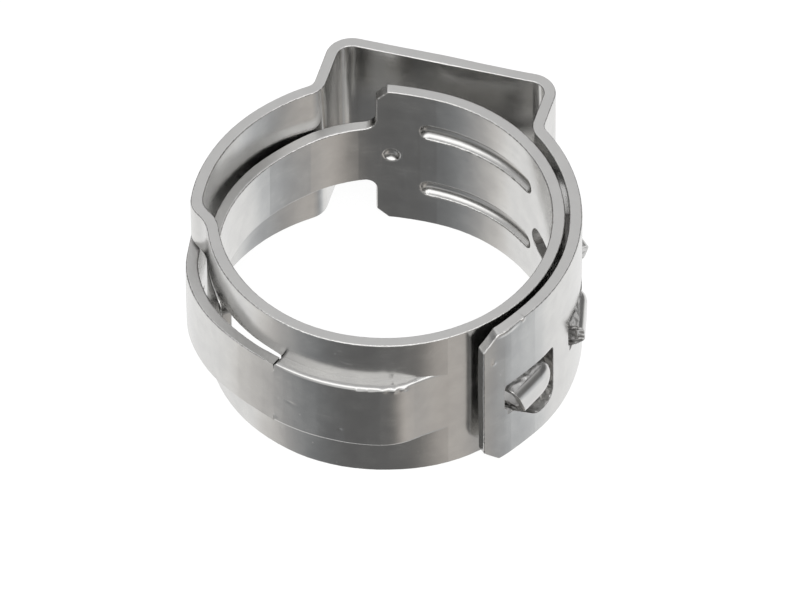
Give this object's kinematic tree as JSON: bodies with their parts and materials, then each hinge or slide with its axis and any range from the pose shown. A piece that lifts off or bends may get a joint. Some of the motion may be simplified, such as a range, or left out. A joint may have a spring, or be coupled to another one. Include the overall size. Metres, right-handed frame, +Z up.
{
  "type": "ear hose clamp",
  "caption": "Stepless ear clamp of one formed stainless steel strip, with a raised ear, a tongue that slides under a crown, and hooks in windows, that closes round a hose.",
  "frame": {"origin": "on the bore axis at the lower rim, where the band rests", "axes": "+Z up along the bore axis, +Y through the middle of the ear"},
  "size_m": [0.02, 0.0209, 0.009],
  "materials": {
    "stainless_strip": "satin, with bright rubbed edges"
  },
  "bodies": {
    "root": {"clamp_band": "stainless_strip"}
  },
  "joints": []
}
